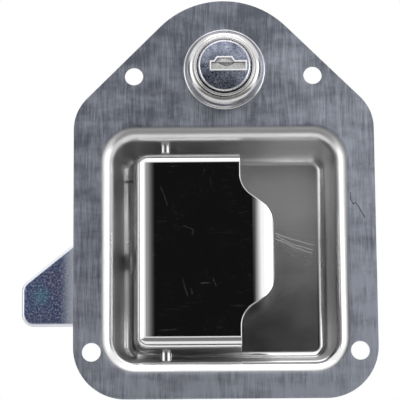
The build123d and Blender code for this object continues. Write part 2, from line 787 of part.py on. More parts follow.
# Shutter behind the keyhole: a plate with a dip in its top edge, curled round its pin
with BuildPart() as key_shutter:
    curl = shutter_pin_diameter / 2 + shutter_wrap
    with BuildSketch(Plane.YZ.offset(lock_shift + slot_shift)):
        with Locations((hinge_in - sheet, lock_rise + hinge_up)):
            Circle(curl)
        with Locations((hinge_in - sheet - curl + shutter_thick / 2, lock_rise + hinge_up)):
            Rectangle(shutter_thick, slot_top - hinge_up - fit_gap, align=(Align.CENTER, Align.MIN))
        with Locations((hinge_in - sheet, lock_rise + hinge_up)):
            Circle(shutter_pin_diameter / 2 + slip, mode=Mode.SUBTRACT)
    extrude(amount=slot_width / 2 - fit_gap, both=True)
    with BuildSketch(lock_level(head_face)):
        dip_radius = (shutter_dip**2 / 4 + shutter_dip_deep**2) / (2 * shutter_dip_deep)
        with Locations((shutter_dip_shift, slot_top - fit_gap - shutter_dip_deep + dip_radius)):
            Circle(dip_radius)
    extrude(amount=-pocket_depth, mode=Mode.SUBTRACT)
    shoulders = edges().filter_by(Axis.Y).group_by(Axis.Z)[-1].sort_by(Axis.X)
    fillet(shoulders[1:-1], shutter_dip_round)
save(key_shutter.part, "key_shutter")

with BuildPart() as shutter_pin:
    with BuildSketch(Plane.YZ.offset(lock_shift)):
        with Locations((hinge_in - sheet, lock_rise + hinge_up)):
            Circle(shutter_pin_diameter / 2)
    extrude(amount=shutter_pin_half, both=True)
save(shutter_pin.part, "shutter_pin")

# Wafers: frames that the key passes through, flush with the plug as when the key is in
for count in range(wafer_count):
    with BuildPart() as wafer:
        with BuildSketch(lock_level(wafer_first + count * wafer_pitch)):
            Circle(plug_diameter / 2 - slip)
            Rectangle(plug_diameter, wafer_height, mode=Mode.INTERSECT)
            with Locations((keyway_shift, -slot_drop)):
                Rectangle(keyway_width + 2 * groove_deep, keyway_height, mode=Mode.SUBTRACT)
        extrude(amount=-wafer_thick)
    save(wafer.part, f"wafer_{count + 1}")


def hex_nut(depth, flats, bore, thick):
    """Hexagon nut on the lock's axis with chamfered corners."""
    with BuildPart() as nut:
        with BuildSketch(lock_level(depth)):
            Circle(flats / 2 / cos(radians(30)))
        extrude(amount=-thick)
        chamfer(edges().filter_by(GeomType.CIRCLE), thick * 0.12, flats * 0.06)
        with BuildSketch(lock_level(depth)):
            RegularPolygon(flats / 2, 6, major_radius=False, rotation=30)
            Circle(bore / 2, mode=Mode.SUBTRACT)
        extrude(amount=-thick, mode=Mode.INTERSECT)
    return nut.part


lock_washer = flat_ring(
    lock_level(sheet), lock_washer_bore + 2 * lock_washer_wide, lock_washer_bore, lock_washer_thick
)
save(lock_washer, "lock_washer")
lock_nut_front = sheet + lock_washer_thick
save(hex_nut(lock_nut_front, nut_flats, barrel_diameter + 2 * slip, nut_thick), "lock_nut")

# Cam on the plug's tail: it points left when open, and down beside the bolt's arm when locked
with BuildPart() as lock_cam:
    with BuildSketch(lock_level(tail_from)):
        with Locations((-cam_reach / 2, 0)):
            Rectangle(cam_reach, cam_width)
        fillet(vertices().group_by(Axis.X)[0], cam_tip_round)
        Circle(cam_hub / 2)
        Rectangle(cam_square + 2 * slip, cam_square + 2 * slip, mode=Mode.SUBTRACT)
    extrude(amount=-cam_thick)
save(lock_cam.part, "lock_cam")
cam_washer = flat_ring(lock_level(cam_back), cam_washer_diameter, stud_diameter + 2 * fit_gap, cam_washer_thick)
save(cam_washer, "cam_washer")
save(hex_nut(cam_washer_back, cam_nut_flats, stud_diameter + 2 * slip, cam_nut_thick), "cam_nut")
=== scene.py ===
import json
import math

import bmesh
import bpy
from mathutils import Matrix, Vector


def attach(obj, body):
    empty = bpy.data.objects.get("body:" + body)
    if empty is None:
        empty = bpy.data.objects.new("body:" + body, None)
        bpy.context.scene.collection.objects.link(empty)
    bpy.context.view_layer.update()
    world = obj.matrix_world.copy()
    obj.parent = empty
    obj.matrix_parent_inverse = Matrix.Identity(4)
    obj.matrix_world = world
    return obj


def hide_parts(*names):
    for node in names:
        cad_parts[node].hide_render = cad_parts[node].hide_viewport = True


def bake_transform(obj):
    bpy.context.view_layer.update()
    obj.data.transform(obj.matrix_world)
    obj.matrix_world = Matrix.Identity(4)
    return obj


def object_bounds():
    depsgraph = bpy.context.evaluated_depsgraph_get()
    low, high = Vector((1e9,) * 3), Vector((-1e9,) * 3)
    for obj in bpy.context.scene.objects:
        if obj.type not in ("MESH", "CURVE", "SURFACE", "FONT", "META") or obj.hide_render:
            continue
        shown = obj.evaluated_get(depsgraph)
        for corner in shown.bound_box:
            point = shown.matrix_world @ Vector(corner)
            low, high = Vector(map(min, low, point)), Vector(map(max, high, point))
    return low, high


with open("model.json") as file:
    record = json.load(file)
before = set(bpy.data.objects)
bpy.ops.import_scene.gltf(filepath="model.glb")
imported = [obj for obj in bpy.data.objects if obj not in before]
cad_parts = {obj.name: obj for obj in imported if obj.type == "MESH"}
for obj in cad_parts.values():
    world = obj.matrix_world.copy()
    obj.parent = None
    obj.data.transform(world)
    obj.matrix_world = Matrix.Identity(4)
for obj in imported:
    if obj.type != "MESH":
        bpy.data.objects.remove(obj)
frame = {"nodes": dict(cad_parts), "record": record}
cadNodes = frame["nodes"]
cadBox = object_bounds()
print("frame loaded:", len(cadNodes), "nodes")

frontFace = -0.0015             # depth of the flange's front face
lockMiddle = (0.0004, 0.1022)   # the lock's axis on that face, across and up
perMetre = 1000                 # the outlines below are in millimetres
fullTurn = math.radians(360)

# Camera at the photograph's angle: a long lens a little below the latch, tilted up
cameraSet = {
    "place": (-0.00754, -0.73342, -0.07973),
    "turn": (100.379, 0.408, 0.169),   # degrees
    "lens": 187.2,
    "sensor": 36.0,
}
cameraData = bpy.data.cameras.new("camera")
cameraData.lens = cameraSet["lens"]
cameraData.sensor_width = cameraSet["sensor"]
camera = bpy.data.objects.new("camera", cameraData)
camera.location = cameraSet["place"]
camera.rotation_euler = [math.radians(angle) for angle in cameraSet["turn"]]
bpy.context.scene.collection.objects.link(camera)
bpy.context.scene.camera = camera
bpy.context.scene.view_settings.view_transform = "Standard"


# Small helpers for the node trees
def startMaterial(name, **sockets):
    material = bpy.data.materials.new(name)
    material.use_nodes = True
    tree = material.node_tree
    shader = tree.nodes["Principled BSDF"]
    for socket, value in sockets.items():
        shader.inputs[socket.replace("_", " ")].default_value = value
    return material, tree, shader


def addNode(tree, kind, settings=None, **inputs):
    node = tree.nodes.new(kind)
    for key, value in (settings or {}).items():
        setattr(node, key, value)
    for key, value in inputs.items():
        numbered = key[0] == "i" and key[1:].isdigit()   # i0, i1 ... are sockets by number
        socket = node.inputs[int(key[1:])] if numbered else node.inputs[key.replace("_", " ")]
        if hasattr(value, "is_output"):
            tree.links.new(value, socket)
        else:
            socket.default_value = value
    return node


def math2(tree, operation, a, b=0.0):
    return addNode(tree, "ShaderNodeMath", {"operation": operation}, i0=a, i1=b).outputs[0]


def times(tree, a, b):
    return math2(tree, "MULTIPLY", a, b)


def plus(tree, a, b):
    return math2(tree, "ADD", a, b)


def vectorMath(tree, operation, a, **inputs):
    return addNode(tree, "ShaderNodeVectorMath", {"operation": operation}, i0=a, **inputs)


def objectPlace(tree, scale=(1, 1, 1), turn=(0, 0, 0), shift=(0, 0, 0)):
    place = addNode(tree, "ShaderNodeTexCoord").outputs["Object"]
    angles = [math.radians(angle) for angle in turn]
    mapping = addNode(tree, "ShaderNodeMapping", Vector=place, Scale=scale, Rotation=angles, Location=shift)
    return mapping.outputs["Vector"]


def placeAxes(tree):
    return addNode(tree, "ShaderNodeSeparateXYZ", Vector=objectPlace(tree)).outputs


def facingAxes(tree):
    normal = addNode(tree, "ShaderNodeTexCoord").outputs["Normal"]
    return addNode(tree, "ShaderNodeSeparateXYZ", Vector=normal).outputs


def distanceFrom(tree, spot):
    # How far a point of the front lies from a spot on it
    flat = objectPlace(tree, (1, 0, 1), shift=(-spot[0], 0, -spot[1]))
    return vectorMath(tree, "LENGTH", flat).outputs["Value"]


def noiseAt(tree, stretch, size, detail=3.0, rough=0.55, turn=(0, 0, 0), shift=(0, 0, 0)):
    turned = objectPlace(tree, turn=turn, shift=shift)
    place = addNode(tree, "ShaderNodeMapping", Vector=turned, Scale=stretch).outputs["Vector"]
    noise = addNode(tree, "ShaderNodeTexNoise", Vector=place, Scale=1 / size, Detail=detail, Roughness=rough)
    return noise.outputs["Fac"]


def remap(tree, value, fromLow, fromHigh, toLow=0, toHigh=1, smooth=False):
    settings = {"interpolation_type": "SMOOTHSTEP" if smooth else "LINEAR"}
    return addNode(
        tree, "ShaderNodeMapRange", settings, Value=value,
        From_Min=fromLow, From_Max=fromHigh, To_Min=toLow, To_Max=toHigh,
    ).outputs["Result"]


def mixValue(tree, factor, a, b):
    return addNode(tree, "ShaderNodeMix", {"data_type": "FLOAT"}, i0=factor, i2=a, i3=b).outputs[0]


def mixColor(tree, factor, a, b):
    return addNode(tree, "ShaderNodeMix", {"data_type": "RGBA"}, i0=factor, i6=a, i7=b).outputs[2]


def addBump(tree, strength, distance, height, **inputs):
    bump = addNode(tree, "ShaderNodeBump", Strength=strength, Distance=distance, Height=height, **inputs)
    return bump.outputs["Normal"]


def linkFinish(tree, shader, color, rough, normal):
    tree.links.new(color, shader.inputs["Base Color"])
    tree.links.new(rough, shader.inputs["Roughness"])
    tree.links.new(normal, shader.inputs["Normal"])


noiseSpan = (0.3, 0.7)   # the range that most of a noise lies in

# Sparse short scratches that run one way: a stretched noise with only its peaks kept, in patches
hairlineSet = {
    "detail": 1.0,
    "rough": 0.4,
    "peak": 0.05,
    "patchSize": 0.008,
    "patchDetail": 2.0,
    "patchRough": 0.5,
    "patchSpan": (0.42, 0.6),
}


def hairlines(tree, turn, across, along, share, seed=0.0):
    lines = noiseAt(
        tree, (1, 1, across / along), across, hairlineSet["detail"], hairlineSet["rough"],
        turn=(0, turn, 0), shift=(seed, 0, seed),
    )
    patches = noiseAt(
        tree, (1, 1, 1), hairlineSet["patchSize"], hairlineSet["patchDetail"], hairlineSet["patchRough"],
        shift=(seed, seed, 0),
    )
    peak = remap(tree, lines, 1 - share, 1 - share + hairlineSet["peak"])
    return times(tree, peak, remap(tree, patches, *hairlineSet["patchSpan"]))


# Marks placed one by one on the front, which waver a little
strokeSet = {
    "waverScale": 900.0,
    "waverDetail": 1.0,
    "core": 0.3,   # share of the width that is full
}


def strokes(tree, lines, width, waver):
    # Mask of the marks: each line is a run of (x, z) points in metres
    flat = objectPlace(tree, (1, 0, 1))
    noise = addNode(
        tree, "ShaderNodeTexNoise", Vector=flat,
        Scale=strokeSet["waverScale"], Detail=strokeSet["waverDetail"],
    )
    centred = vectorMath(tree, "SUBTRACT", noise.outputs["Color"], i1=(0.5, 0.5, 0.5)).outputs[0]
    drift = vectorMath(tree, "MULTIPLY", centred, i1=(waver, 0, waver)).outputs[0]
    spot = vectorMath(tree, "ADD", flat, i1=drift).outputs[0]
    nearest = None
    for line in lines:
        for (ax, az), (bx, bz) in zip(line, line[1:]):
            run = Vector((bx - ax, 0, bz - az))
            off = vectorMath(tree, "SUBTRACT", spot, i1=(ax, 0, az)).outputs[0]
            share = vectorMath(tree, "DOT_PRODUCT", off, i1=run / run.length_squared).outputs["Value"]
            reach = math2(tree, "MAXIMUM", math2(tree, "MINIMUM", share, 1.0), 0.0)
            foot = vectorMath(tree, "SCALE", run, Scale=reach).outputs[0]
            gap = vectorMath(tree, "DISTANCE", off, i1=foot).outputs["Value"]
            nearest = gap if nearest is None else math2(tree, "MINIMUM", nearest, gap)
    return remap(tree, nearest, width * strokeSet["core"], width, 1, 0)


def edgeSwell(tree, axis, start, reach, slope, side):
    # Height that falls away past a line, so a flat face starts its bend softly
    past = times(tree, math2(tree, "SUBTRACT", placeAxes(tree)[axis], start), side)
    near = math2(tree, "MINIMUM", math2(tree, "MAXIMUM", past, 0.0), reach)
    curve = times(tree, times(tree, near, near), -slope / (2 * reach))
    beyond = times(tree, math2(tree, "MAXIMUM", math2(tree, "SUBTRACT", past, reach), 0.0), -slope)
    return plus(tree, curve, beyond)


# Pressed plate: short vertical grain on the flange, smooth satin in the pressed dish
plateSet = {
    "grain": (0.58, 0.615, 0.71, 1),
    "grainDark": (0.20, 0.215, 0.26, 1),
    "speck": (0.85, 0.85, 0.85, 1),
    "dish": (0.93, 0.925, 0.93, 1),
    "dishDull": (0.82, 0.815, 0.82, 1),
    # colour of the painted shade on the dish's walls
    "wall": (0.43, 0.42, 0.42, 1),
    "outside": (0.62, 0.62, 0.63, 1),
    "crack": (0.03, 0.035, 0.04, 1),
    "scuff": (0.95, 0.95, 0.95, 1),
    "fineGrain": {"stretch": (1, 1, 0.045), "size": 0.00028, "rough": 0.6},
    "mediumGrain": {"stretch": (1, 1, 0.08), "size": 0.0012},
    "blotch": {"stretch": (0.5, 1, 1), "size": 0.0085, "detail": 4.0, "rough": 0.62},
    "drawn": {"stretch": (1, 0.05, 1), "size": 0.0009, "detail": 2.0},   # lines down the dish's walls
    "specks": {"turn": 12, "across": 0.00022, "along": 0.0009, "share": 0.24, "seed": 0.3},
    "mediumShare": 0.35,
    "blotchShare": 0.5,
    "speckShare": 0.6,
    "shadeSpan": (0.38, 0.62),
    "paintedLightLow": (-0.015, 0.125, 0.10, -0.06),    # height and shade: painted light, paler towards the foot
    "paintedLightSide": (-0.05, 0.05, -0.04, 0.03),     # across and shade: painted light, paler towards the right
    "grainRough": (0.36, 0.46),
    "dishRough": (0.17, 0.33),
    "dishHeights": (-0.002, 0.068),   # where the dish's first and second roughness lie
    "cloudRough": (-0.03, 0.03),
    "wallRough": 0.40,
    "wallFacing": (0.2, 0.55),
    "wallShadeByFacing": (-0.8, -0.3, 0.2, 0.85),   # painted shade: every wall darkens except the one that faces down
    "outsideFacing": (0.2, 0.6),
    "backFacing": (0.85, 0.97),
    "backDepths": (0.0003, 0.0012),
    "faceDepths": (frontFace + 0.00002, frontFace + 0.00018),
    "dishMiddle": (0, 0.0368),
    "dishReach": 0.0475,
    "grainBump": 0.55,
    "dishBump": 0.12,
    "bumpDepth": 0.00004,
    "crackWidth": 0.00024,
    "crackWaver": 0.0004,
    "crackShare": 0.85,
    "hairCrack": [[
        (0.0451, 0.0566), (0.0451, 0.0544), (0.0461, 0.0524), (0.0468, 0.0530), (0.0479, 0.0515),
        (0.0501, 0.0475),
    ]],
    "scuffWidth": 0.00022,
    "scuffWaver": 0.0003,
    "scuffShare": 0.7,
    "scuffTint": 0.5,
    "scuffRough": 0.55,
    "dishScuffs": [
        [(0.0188, 0.0460), (0.0245, 0.0438), (0.0300, 0.0423), (0.0328, 0.0415)],
        [(0.0195, 0.0449), (0.0250, 0.0419), (0.0325, 0.0397)],
        [(0.0205, 0.0434), (0.0262, 0.0406), (0.0322, 0.0384)],
        [(0.0188, 0.0439), (0.0232, 0.0421)],
    ],
}


def makePlateMaterial():
    material, tree, shader = startMaterial("brushed stainless plate", Metallic=1.0)
    fine = noiseAt(tree, **plateSet["fineGrain"])
    medium = noiseAt(tree, **plateSet["mediumGrain"])
    blotch = noiseAt(tree, **plateSet["blotch"])
    grain = mixValue(tree, plateSet["mediumShare"], fine, medium)
    place = placeAxes(tree)
    facing = facingAxes(tree)

    # The dish: behind the front face, near the dish's middle, and not the flange's own back
    behindFace = remap(tree, place["Y"], *plateSet["faceDepths"])
    middle = plateSet["dishMiddle"]
    fromMiddle = math2(
        tree, "MAXIMUM",
        math2(tree, "ABSOLUTE", math2(tree, "SUBTRACT", place["X"], middle[0])),
        math2(tree, "ABSOLUTE", math2(tree, "SUBTRACT", place["Z"], middle[1])),
    )
    inDish = times(tree, behindFace, math2(tree, "LESS_THAN", fromMiddle, plateSet["dishReach"]))
    facingBack = remap(tree, facing["Y"], *plateSet["backFacing"])
    backFlange = times(tree, facingBack, remap(tree, place["Y"], *plateSet["backDepths"], 1, 0))
    inDish = times(tree, inDish, math2(tree, "SUBTRACT", 1.0, backFlange))

    # Brushed flange, with its specks, the hair crack, and painted light that makes it paler towards its foot
    # and its right
    shareLeft = 1 - plateSet["blotchShare"]
    shade = plus(tree, times(tree, grain, shareLeft), times(tree, blotch, plateSet["blotchShare"]))
    lowPaintedLight = remap(tree, place["Z"], *plateSet["paintedLightLow"])
    sidePaintedLight = remap(tree, place["X"], *plateSet["paintedLightSide"])
    shade = plus(tree, shade, plus(tree, lowPaintedLight, sidePaintedLight))
    shade = remap(tree, shade, *plateSet["shadeSpan"])
    brushed = mixColor(tree, shade, plateSet["grainDark"], plateSet["grain"])
    specks = hairlines(tree, **plateSet["specks"])
    brushed = mixColor(tree, times(tree, specks, plateSet["speckShare"]), brushed, plateSet["speck"])
    crack = strokes(tree, plateSet["hairCrack"], plateSet["crackWidth"], plateSet["crackWaver"])
    brushed = mixColor(tree, times(tree, crack, plateSet["crackShare"]), brushed, plateSet["crack"])

    # Satin dish, rougher on its walls, with painted shade on every wall except the one that faces down,
    # duller on its outer side, and with the scuffs on its floor
    satin = mixColor(tree, remap(tree, blotch, *noiseSpan), plateSet["dish"], plateSet["dishDull"])
    scuff = strokes(tree, plateSet["dishScuffs"], plateSet["scuffWidth"], plateSet["scuffWaver"])
    scuff = times(tree, scuff, plateSet["scuffShare"])
    satin = mixColor(tree, times(tree, scuff, plateSet["scuffTint"]), satin, plateSet["scuff"])
    upright = remap(tree, math2(tree, "ABSOLUTE", facing["Y"]), *plateSet["wallFacing"], 1, 0, True)
    outside = remap(tree, facing["Y"], *plateSet["outsideFacing"])
    satin = mixColor(tree, outside, satin, plateSet["outside"])
    wallShaded = times(tree, upright, remap(tree, facing["Z"], *plateSet["wallShadeByFacing"]))
    satin = mixColor(tree, wallShaded, satin, plateSet["wall"])
    upward = remap(tree, place["Z"], *plateSet["dishHeights"], *plateSet["dishRough"], True)
    clouded = plus(tree, upward, remap(tree, blotch, *noiseSpan, *plateSet["cloudRough"]))
    smooth = mixValue(
        tree, upright, mixValue(tree, scuff, clouded, plateSet["scuffRough"]), plateSet["wallRough"]
    )

    color = mixColor(tree, inDish, brushed, satin)
    rough = mixValue(tree, inDish, remap(tree, grain, *noiseSpan, *plateSet["grainRough"]), smooth)
    height = mixValue(tree, inDish, grain, noiseAt(tree, **plateSet["drawn"]))
    strength = mixValue(tree, inDish, plateSet["grainBump"], plateSet["dishBump"])
    linkFinish(tree, shader, color, rough, addBump(tree, strength, plateSet["bumpDepth"], height))
    return material


# Paddle: polished, with the fine scratches of handling
paddleSet = {
    "color": (0.93, 0.93, 0.94, 1),
    "markColor": (0.95, 0.95, 0.95, 1),
    "cloud": {"stretch": (1, 1, 1), "size": 0.012},
    "ripple": {"stretch": (1, 1, 0.3), "size": 0.003, "detail": 2.0},
    "scratches": [   # each set of fine scratches, and how strong it shows
        ({"turn": 90, "across": 0.00012, "along": 0.007, "share": 0.30, "seed": 0.1}, 0.4),
        ({"turn": 4, "across": 0.00012, "along": 0.004, "share": 0.285, "seed": 0.5}, 0.35),
        ({"turn": 38, "across": 0.00013, "along": 0.0016, "share": 0.27, "seed": 0.9}, 0.5),
    ],
    "rough": (0.03, 0.06),
    "edgeRough": 0.26,
    "edgeFacing": (0.80, 0.40),
    "markRough": 0.42,
    "markTint": 0.4,
    "softEdges": [   # axis, where the face starts to fall away, over what reach, slope, side
        ("X", -0.0235, 0.0042, 0.19, -1),
        ("Z", 0.0683, 0.0018, 0.25, 1),
        ("Z", 0.0080, 0.0045, 0.30, -1),
    ],
    "rippleBump": 0.03,
    "rippleDepth": 0.00005,
    "longWidth": 0.00010,
    "longWaver": 0.0006,
    "longShare": 0.55,
    "longScratches": [
        [(-0.0230, 0.0597), (-0.0216, 0.0568), (-0.0205, 0.0528)],
        [(-0.0148, 0.0455), (-0.0112, 0.0441), (-0.0116, 0.0423)],
        [(-0.0152, 0.0260), (-0.0134, 0.0202)],
        [(-0.0122, 0.0232), (-0.0118, 0.0208)],
        [(-0.0087, 0.0245), (-0.0059, 0.0249)],
        [(-0.0042, 0.0262), (-0.0031, 0.0236)],
        [(-0.0237, 0.0078), (-0.0176, 0.0081)],
        [(-0.0262, 0.0354), (-0.0251, 0.0352)],
    ],
}


def makePaddleMaterial():
    material, tree, shader = startMaterial("polished stainless paddle", Metallic=1.0)
    marks = strokes(tree, paddleSet["longScratches"], paddleSet["longWidth"], paddleSet["longWaver"])
    marks = times(tree, marks, paddleSet["longShare"])
    for scratchSet, shows in paddleSet["scratches"]:
        marks = math2(tree, "MAXIMUM", marks, times(tree, hairlines(tree, **scratchSet), shows))
    polished = remap(tree, noiseAt(tree, **paddleSet["cloud"]), *noiseSpan, *paddleSet["rough"])
    rolled = remap(tree, math2(tree, "ABSOLUTE", facingAxes(tree)["Y"]), *paddleSet["edgeFacing"])
    polished = mixValue(tree, rolled, polished, paddleSet["edgeRough"])
    rough = mixValue(tree, marks, polished, paddleSet["markRough"])
    tinted = times(tree, marks, paddleSet["markTint"])
    color = mixColor(tree, tinted, paddleSet["color"], paddleSet["markColor"])
    fall = 0.0
    for softEdge in paddleSet["softEdges"]:
        fall = plus(tree, fall, edgeSwell(tree, *softEdge))
    soft = addBump(tree, 1.0, 1.0, fall)
    ripple = noiseAt(tree, **paddleSet["ripple"])
    normal = addBump(tree, paddleSet["rippleBump"], paddleSet["rippleDepth"], ripple, Normal=soft)
    linkFinish(tree, shader, color, rough, normal)
    return material


# Bolt: blue passivated zinc, mottled purple, with a cyan bloom near the tip and a paler root
boltSet = {
    "blue": (0.15, 0.23, 0.52, 1),
    "purple": (0.20, 0.21, 0.47, 1),
    "pale": (0.75, 0.80, 0.90, 1),
    "cyan": (0.25, 0.80, 0.95, 1),
    # pale edge colour: partly coating rubbed away, partly a painted highlight
    "edge": (0.88, 0.90, 0.94, 1),
    "root": (0.80, 0.84, 0.88, 1),
    "fine": {"stretch": (1, 1, 1), "size": 0.0007, "rough": 0.65},
    "wide": {"stretch": (1, 1, 1), "size": 0.006, "rough": 0.6},
    "purpleSpan": (0.4, 0.62),
    "paleSpan": (0.47, 0.66, 0, 0.9),
    "bloomAt": (-0.0675, 0.0235),
    "bloomReach": 0.0046,
    "bloomShare": 0.8,
    "paleFrom": -0.0615,
    "paleTo": -0.0555,
    "paleEnd": -0.0500,
    "paleShare": 0.85,
    "frontFacing": (-0.1, -0.5),
    "edgeFacing": (0.999, 0.97),
    "edgeShare": 0.9,
    "rough": (0.28, 0.42),
    "rootRough": 0.52,
    "bump": 0.25,
    "bumpDepth": 0.00004,
}


def makeBoltMaterial():
    material, tree, shader = startMaterial("blue passivated zinc", Metallic=1.0)
    fine = noiseAt(tree, **boltSet["fine"])
    wide = noiseAt(tree, **boltSet["wide"])
    color = mixColor(tree, remap(tree, wide, *boltSet["purpleSpan"]), boltSet["blue"], boltSet["purple"])
    color = mixColor(tree, remap(tree, fine, *boltSet["paleSpan"]), color, boltSet["pale"])
    reach = distanceFrom(tree, boltSet["bloomAt"])
    bloom = times(tree, remap(tree, reach, 0, boltSet["bloomReach"], boltSet["bloomShare"], 0, True), fine)
    color = mixColor(tree, bloom, color, boltSet["cyan"])
    place = placeAxes(tree)
    facing = facingAxes(tree)
    starting = remap(tree, place["X"], boltSet["paleFrom"], boltSet["paleTo"], 0, boltSet["paleShare"], True)
    fading = remap(tree, place["X"], boltSet["paleTo"], boltSet["paleEnd"], 1, 0, True)
    onFront = remap(tree, facing["Y"], *boltSet["frontFacing"])
    root = times(tree, times(tree, starting, fading), onFront)
    color = mixColor(tree, root, color, boltSet["root"])
    # pale rounded edges: partly coating rubbed away, partly a painted highlight
    rubbedAndHighlitEdge = remap(tree, math2(tree, "ABSOLUTE", facing["Y"]), *boltSet["edgeFacing"])
    color = mixColor(tree, times(tree, rubbedAndHighlitEdge, boltSet["edgeShare"]), color, boltSet["edge"])
    rough = mixValue(tree, root, remap(tree, fine, *noiseSpan, *boltSet["rough"]), boltSet["rootRough"])
    linkFinish(tree, shader, color, rough, addBump(tree, boltSet["bump"], boltSet["bumpDepth"], fine))
    return material


# Cap of the plug: steel with a fine bluish crystal speckle
capSet = {
    "dark": (0.15, 0.165, 0.24, 1),
    "light": (0.66, 0.72, 0.90, 1),
    "edge": (0.90, 0.90, 0.92, 1),
    "fine": {"stretch": (1, 1, 1), "size": 0.0006, "detail": 4.0, "rough": 0.7},
    "wide": {"stretch": (1, 1, 1), "size": 0.0035},
    "wideShare": 0.5,
    "speckleSpan": (0.38, 0.64),
    "rough": (0.2, 0.36),
    "dome": 6.5,   # how far the face bulges, per metre
    "rimFrom": 0.0088,
    "rimBlend": 0.0002,
    "rimSlope": 0.55,
    "bump": 0.6,
    "bumpDepth": 0.00005,
}


def makeCapMaterial():
    material, tree, shader = startMaterial("speckled cap steel", Metallic=1.0)
    fine = noiseAt(tree, **capSet["fine"])
    wide = noiseAt(tree, **capSet["wide"])
    mottle = plus(tree, times(tree, fine, 1 - capSet["wideShare"]), times(tree, wide, capSet["wideShare"]))
    color = mixColor(tree, remap(tree, mottle, *capSet["speckleSpan"]), capSet["dark"], capSet["light"])
    reach = distanceFrom(tree, lockMiddle)
    rim = remap(tree, reach, capSet["rimFrom"], capSet["rimFrom"] + capSet["rimBlend"])
    color = mixColor(tree, rim, color, capSet["edge"])
    swell = times(tree, times(tree, reach, reach), -capSet["dome"])
    pastRim = math2(tree, "MAXIMUM", math2(tree, "SUBTRACT", reach, capSet["rimFrom"]), 0.0)
    swell = plus(tree, swell, times(tree, pastRim, -capSet["rimSlope"]))
    domed = addBump(tree, 1.0, 1.0, swell)
    normal = addBump(tree, capSet["bump"], capSet["bumpDepth"], fine, Normal=domed)
    linkFinish(tree, shader, color, remap(tree, fine, *noiseSpan, *capSet["rough"]), normal)
    return material


# Plain metals: a fine speck and wider stains in the colour, a little unevenness in the shine
metalSet = {
    "stainSize": 6,         # times the speck's size
    "stainShare": 0.4,
    "stainSpan": (0.35, 0.65),
    "stainDark": 0.78,
    "roughSpread": (0.7, 1.3),
    "bumpDepth": 0.00004,
}


def makeMetal(name, color, rough, size=0.002, metallic=1.0, bump=0.1):
    material, tree, shader = startMaterial(name, Metallic=metallic)
    speck = noiseAt(tree, (1, 1, 1), size)
    stain = noiseAt(tree, (1, 1, 1), size * metalSet["stainSize"])
    stained = remap(tree, mixValue(tree, metalSet["stainShare"], speck, stain), *metalSet["stainSpan"])
    dark = tuple(channel * metalSet["stainDark"] for channel in color)
    tint = mixColor(tree, stained, dark + (1,), color + (1,))
    rough = remap(tree, speck, *noiseSpan, *[rough * spread for spread in metalSet["roughSpread"]])
    linkFinish(tree, shader, tint, rough, addBump(tree, bump, metalSet["bumpDepth"], speck))
    return material


finishOf = {
    "plate_steel": makePlateMaterial(),
    "paddle_steel": makePaddleMaterial(),
    "pin_steel": makeMetal("pin steel", (0.70, 0.70, 0.70), 0.2),
    "spring_steel": makeMetal("spring wire", (0.52, 0.52, 0.54), 0.26, 0.0008),
    "bolt_zinc": makeBoltMaterial(),
    "rivet_steel": makeMetal("rivet steel", (0.62, 0.63, 0.66), 0.3, 0.0012),
    "washer_steel": makeMetal("zinc plated washer", (0.64, 0.66, 0.70), 0.3, 0.0012),
    "bezel_nickel": makeMetal("nickel bezel", (0.80, 0.79, 0.79), 0.2, 0.006, bump=0.02),
    "plug_zinc": makeMetal("die cast plug", (0.90, 0.90, 0.90), 0.28, 0.0012, metallic=0.4),
    "cap_steel": makeCapMaterial(),
    "wafer_brass": makeMetal("wafer brass", (0.72, 0.55, 0.30), 0.3),
}
shutterFinish = makeMetal("bright shutter", (0.80, 0.79, 0.77), 0.3, metallic=0.25)
# painted highlight: the keyhole bead is pure white, not metal, so that it shows as a bright outline
beadHighlightFinish = makeMetal("painted highlight bead", (1.0, 0.99, 0.98), 0.22, 0.006, metallic=0.0, bump=0.02)
slotOf = {row["node"]: row["material_slot"] for row in frame["record"]["subparts"]}
for nodeName, node in cadNodes.items():
    node.data.materials.clear()
    node.data.materials.append(finishOf[slotOf[nodeName]])
cadNodes["key_shutter"].data.materials[0] = shutterFinish
print("materials done")


# Makes an object of a finished bmesh
def addObject(name, shape):
    data = bpy.data.meshes.new(name)
    shape.to_mesh(data)
    shape.free()
    added = bpy.data.objects.new(name, data)
    bpy.context.scene.collection.objects.link(added)
    return added


# A piece of the latch, riding on a body in a slot's finish
def addPiece(name, shape, body, slotName, smooth=True):
    for face in shape.faces:
        face.smooth = smooth
    piece = addObject(name, shape)
    piece.data.materials.append(finishOf[slotName])
    if body:
        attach(piece, body)
    return piece


def wireRing(shape, at, along, wireSet):
    # Circle of the wire's section, square to the way that the wire starts
    turn = Vector(along).to_track_quat("Z", "Y").to_matrix().to_4x4()
    made = bmesh.ops.create_circle(
        shape, cap_ends=False, radius=wireSet["wire"], segments=wireSet["sides"],
        matrix=Matrix.Translation(at) @ turn,
    )
    edges = {edge for vert in made["verts"] for edge in vert.link_edges}
    return list(made["verts"]) + list(edges)


def closeWire(shape):
    bmesh.ops.holes_fill(shape, edges=[edge for edge in shape.edges if edge.is_boundary], sides=0)
    bmesh.ops.recalc_face_normals(shape, faces=shape.faces)


def vertsOf(parts):
    return [part for part in parts if isinstance(part, bmesh.types.BMVert)]


def straightWire(start, end, wireSet):
    shape = bmesh.new()
    ring = wireRing(shape, start, end - start, wireSet)
    edges = [part for part in ring if isinstance(part, bmesh.types.BMEdge)]
    made = bmesh.ops.extrude_edge_only(shape, edges=edges)
    bmesh.ops.translate(shape, vec=end - start, verts=vertsOf(made["geom"]))
    closeWire(shape)
    return shape


def joinShape(shape, part):
    # Adds a finished part's mesh to a shape
    partData = bpy.data.meshes.new("joined part")
    part.to_mesh(partData)
    part.free()
    shape.from_mesh(partData)
    bpy.data.meshes.remove(partData)


